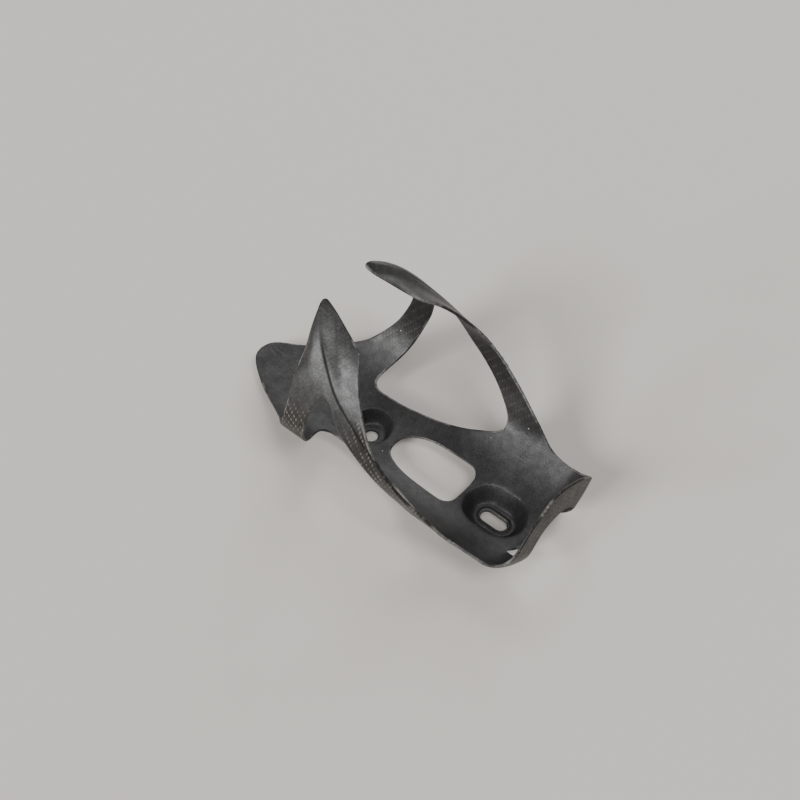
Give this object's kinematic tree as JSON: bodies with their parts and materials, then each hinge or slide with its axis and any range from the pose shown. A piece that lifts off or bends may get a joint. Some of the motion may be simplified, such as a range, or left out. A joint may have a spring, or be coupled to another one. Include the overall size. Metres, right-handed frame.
{
  "type": "bicycle bottle cage",
  "caption": "Matt charcoal carbon bottle cage with two swept wings, a tongue, a curved foot and two recessed bolt seats",
  "frame": {"origin": "middle of the bounding box in plan, on the flat backs of the two bolt seats, where the bicycle's tube is", "axes": "+X along the bottle towards its mouth and the tongue, +Y to the cage's left side, +Z away from the bicycle's tube, towards the bottle"},
  "size_m": [0.1528, 0.0764, 0.0861],
  "materials": {
    "satin_carbon": "satin woven carbon laminate",
    "matt_carbon": "matt woven carbon laminate"
  },
  "bodies": {
    "shell": {"back_plate": "matt_carbon", "top_tongue": "matt_carbon", "bottom_stop": "satin_carbon", "upper_bolt_seat": "matt_carbon", "lower_bolt_seat": "matt_carbon"},
    "left_wing": {"left_short_arm": "satin_carbon", "left_long_arm": "satin_carbon", "left_blade": "satin_carbon"},
    "right_wing": {"right_short_arm": "satin_carbon", "right_long_arm": "satin_carbon", "right_blade": "satin_carbon"}
  },
  "joints": [
    {"name": "left_wing_flex", "type": "hinge", "parent": "shell", "child": "left_wing", "pos_m": [0, 0.0275, 0.01936], "axis": [-1, 0, 0], "range_deg": [-1, 4], "stiffness_Nm_per_rad": 4},
    {"name": "right_wing_flex", "type": "hinge", "parent": "shell", "child": "right_wing", "pos_m": [0, -0.0275, 0.01936], "axis": [1, 0, 0], "range_deg": [-1, 4], "stiffness_Nm_per_rad": 4}
  ]
}
